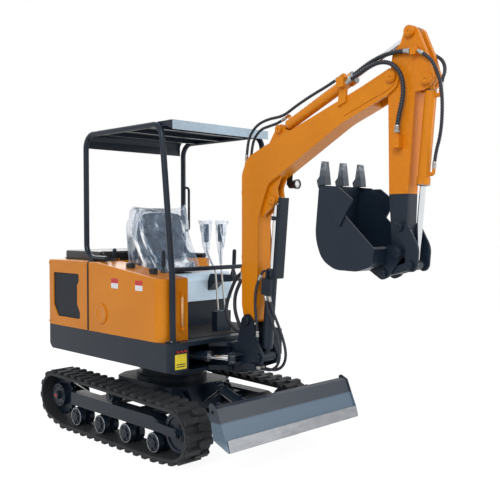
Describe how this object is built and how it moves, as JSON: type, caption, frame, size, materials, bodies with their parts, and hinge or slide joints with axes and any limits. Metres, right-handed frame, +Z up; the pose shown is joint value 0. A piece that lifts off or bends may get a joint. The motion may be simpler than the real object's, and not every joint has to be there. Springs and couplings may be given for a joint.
{
  "type": "mini excavator",
  "caption": "Tracked mini excavator with a canopy, dozer blade and swing post, and a boom, arm and bucket worked by cylinders.",
  "frame": {"origin": "on the ground, under the middle of the machine's length and width", "axes": "+X forward, towards the blade and bucket; +Y to the driver's left; +Z up"},
  "size_m": [3.4489, 1.32, 2.8033],
  "materials": {
    "orange_paint": "semi-gloss, a little dusty",
    "dark_paint": "satin dark blue-grey",
    "black_paint": "satin black",
    "pale_grey_paint": "satin",
    "blade_paint": "worn satin grey-blue",
    "worn_steel": "ground by the soil",
    "chrome": "polished",
    "track_rubber": "matte, dusty",
    "seat_vinyl": "black vinyl",
    "hose_rubber": "hoses in a black spiral wrap",
    "engine_iron": "matte"
  },
  "bodies": {
    "undercarriage": {"centre_frame": "dark_paint", "slew_ring": "dark_paint", "track_right": "track_rubber", "track_left": "track_rubber", "track_frame_right": "dark_paint", "track_frame_left": "dark_paint", "track_rollers": "dark_paint", "idlers": "dark_paint", "sprockets": "dark_paint", "travel_motors": "dark_paint"},
    "house": {"house_frame": "dark_paint", "rear_covers": "orange_paint", "window_meshes": "black_paint", "tank_cover": "orange_paint", "tank_caps": "black_paint", "sight_gauge": "orange_paint", "left_cover": "orange_paint", "engine_block": "engine_iron", "canopy_frame": "dark_paint", "canopy_roof": "dark_paint", "seat_cushion": "seat_vinyl", "seat_back": "seat_vinyl", "seat_console": "pale_grey_paint", "seat_base": "dark_paint", "floor_mat": "black_paint", "levers": "black_paint", "swing_pin": "dark_paint"},
    "hood": {"engine_hood": "black_paint"},
    "blade": {"blade": "blade_paint", "blade_arms": "blade_paint", "blade_edge": "worn_steel"},
    "blade_barrel": {"blade_barrel": "dark_paint"},
    "blade_rod": {"blade_rod": "chrome"},
    "swing_post": {"swing_post": "dark_paint"},
    "swing_barrel": {"swing_barrel": "dark_paint"},
    "swing_rod": {"swing_rod": "chrome"},
    "boom": {"boom": "orange_paint", "boom_pipes": "orange_paint", "work_lamp": "black_paint", "post_hoses": "hose_rubber", "top_hoses": "hose_rubber", "arm_hoses": "hose_rubber"},
    "boom_barrel": {"boom_barrel": "black_paint", "barrel_hoses": "hose_rubber"},
    "boom_rod": {"boom_rod": "chrome", "rod_guard": "black_paint"},
    "arm": {"arm": "orange_paint", "bucket_hoses": "hose_rubber"},
    "arm_barrel": {"arm_barrel": "orange_paint"},
    "arm_rod": {"arm_rod": "chrome"},
    "bucket": {"bucket": "dark_paint", "bucket_teeth": "worn_steel"},
    "side_links": {"side_links": "dark_paint"},
    "bucket_link": {"bucket_link": "dark_paint"},
    "bucket_barrel": {"bucket_barrel": "orange_paint"},
    "bucket_rod": {"bucket_rod": "chrome"}
  },
  "joints": [
    {"name": "slew", "type": "hinge", "parent": "undercarriage", "child": "house", "pos_m": [-0.76653, 0, 0.56], "axis": [0, 0, 1], "continuous": true},
    {"name": "blade_lift", "type": "hinge", "parent": "undercarriage", "child": "blade", "pos_m": [-0.26653, 0, 0.235], "axis": [0, -1, 0], "range_deg": [-28, 2]},
    {"name": "blade_cylinder_turn", "type": "hinge", "parent": "undercarriage", "child": "blade_barrel", "pos_m": [-0.20653, 0, 0.43], "axis": [0, -1, 0], "range_deg": [-25.45, 2.28]},
    {"name": "blade_cylinder_slide", "type": "slide", "parent": "blade_barrel", "child": "blade_rod", "axis": [0.9435, 0, -0.3315], "range_m": [-0.0089, 0.0986]},
    {"name": "hood_opening", "type": "hinge", "parent": "house", "child": "hood", "pos_m": [-1.10153, 0, 1.371], "axis": [0, 1, 0], "range_deg": [0, 60]},
    {"name": "boom_swing", "type": "hinge", "parent": "house", "child": "swing_post", "pos_m": [0.04347, 0, 0.7], "axis": [0, 0, 1], "range_deg": [-50, 60]},
    {"name": "swing_cylinder_turn", "type": "hinge", "parent": "house", "child": "swing_barrel", "pos_m": [-0.43653, -0.3, 0.7], "axis": [0, 0, 1], "range_deg": [-3.19, 3.73]},
    {"name": "swing_cylinder_slide", "type": "slide", "parent": "swing_barrel", "child": "swing_rod", "axis": [0.9615, 0.275, 0], "range_m": [-0.1298, 0.1553]},
    {"name": "boom_lift", "type": "hinge", "parent": "swing_post", "child": "boom", "pos_m": [0.18847, 0, 0.975], "axis": [0, -1, 0], "range_deg": [-55, 8], "deforming": ["post_hoses"]},
    {"name": "boom_cylinder_turn", "type": "hinge", "parent": "swing_post", "child": "boom_barrel", "pos_m": [0.30147, 0, 0.722], "axis": [0, -1, 0], "range_deg": [-46.03, 7.12], "deforming": ["barrel_hoses"]},
    {"name": "boom_cylinder_slide", "type": "slide", "parent": "boom_barrel", "child": "boom_rod", "axis": [0.0907, 0, 0.9959], "range_m": [-0.1923, 0.0297]},
    {"name": "arm_curl", "type": "hinge", "parent": "boom", "child": "arm", "pos_m": [1.38847, 0, 2.52], "axis": [0, 1, 0], "range_deg": [-105, 5], "deforming": ["arm_hoses"]},
    {"name": "arm_cylinder_turn", "type": "hinge", "parent": "boom", "child": "arm_barrel", "pos_m": [0.45847, 0, 2.302], "axis": [0, 1, 0], "range_deg": [-3.44, 0.64], "deforming": ["top_hoses"]},
    {"name": "arm_cylinder_slide", "type": "slide", "parent": "arm_barrel", "child": "arm_rod", "axis": [0.9133, 0, 0.4073], "range_m": [-0.4325, 0.0225]},
    {"name": "bucket_curl", "type": "hinge", "parent": "arm", "child": "bucket", "pos_m": [1.43847, 0, 1.488], "axis": [0, 1, 0], "range_deg": [-135, 3]},
    {"name": "side_link_turn", "type": "hinge", "parent": "arm", "child": "side_links", "pos_m": [1.44847, 0, 1.64], "axis": [0, 1, 0], "range_deg": [-81.5, 2.3]},
    {"name": "bucket_link_turn", "type": "hinge", "parent": "side_links", "child": "bucket_link", "pos_m": [1.52347, 0, 1.415], "axis": [0, 1, 0], "range_deg": [-1.01, 23.45]},
    {"name": "bucket_cylinder_turn", "type": "hinge", "parent": "arm", "child": "bucket_barrel", "pos_m": [1.61847, 0, 2.48], "axis": [0, 1, 0], "range_deg": [-11.98, 0.76], "deforming": ["bucket_hoses"]},
    {"name": "bucket_cylinder_slide", "type": "slide", "parent": "bucket_barrel", "child": "bucket_rod", "axis": [-0.0888, 0, -0.996], "range_m": [-0.2532, 0.0076]}
  ],
  "couplings": [
    {"joint": "blade_cylinder_turn", "follows": "blade_lift", "ratio": 0.891},
    {"joint": "blade_cylinder_slide", "follows": "blade_lift", "m_per_rad": -0.1977},
    {"joint": "swing_cylinder_turn", "follows": "boom_swing", "ratio": 0.0538},
    {"joint": "swing_cylinder_slide", "follows": "boom_swing", "m_per_rad": 0.1464},
    {"joint": "boom_cylinder_turn", "follows": "boom_lift", "ratio": 0.8278},
    {"joint": "boom_cylinder_slide", "follows": "boom_lift", "m_per_rad": 0.1982},
    {"joint": "arm_cylinder_turn", "follows": "arm_curl", "ratio": 0.028},
    {"joint": "arm_cylinder_slide", "follows": "arm_curl", "m_per_rad": 0.2349},
    {"joint": "side_link_turn", "follows": "bucket_curl", "ratio": 0.6},
    {"joint": "bucket_link_turn", "follows": "bucket_curl", "ratio": -0.17},
    {"joint": "bucket_cylinder_turn", "follows": "bucket_curl", "ratio": 0.085},
    {"joint": "bucket_cylinder_slide", "follows": "bucket_curl", "m_per_rad": 0.1066}
  ]
}
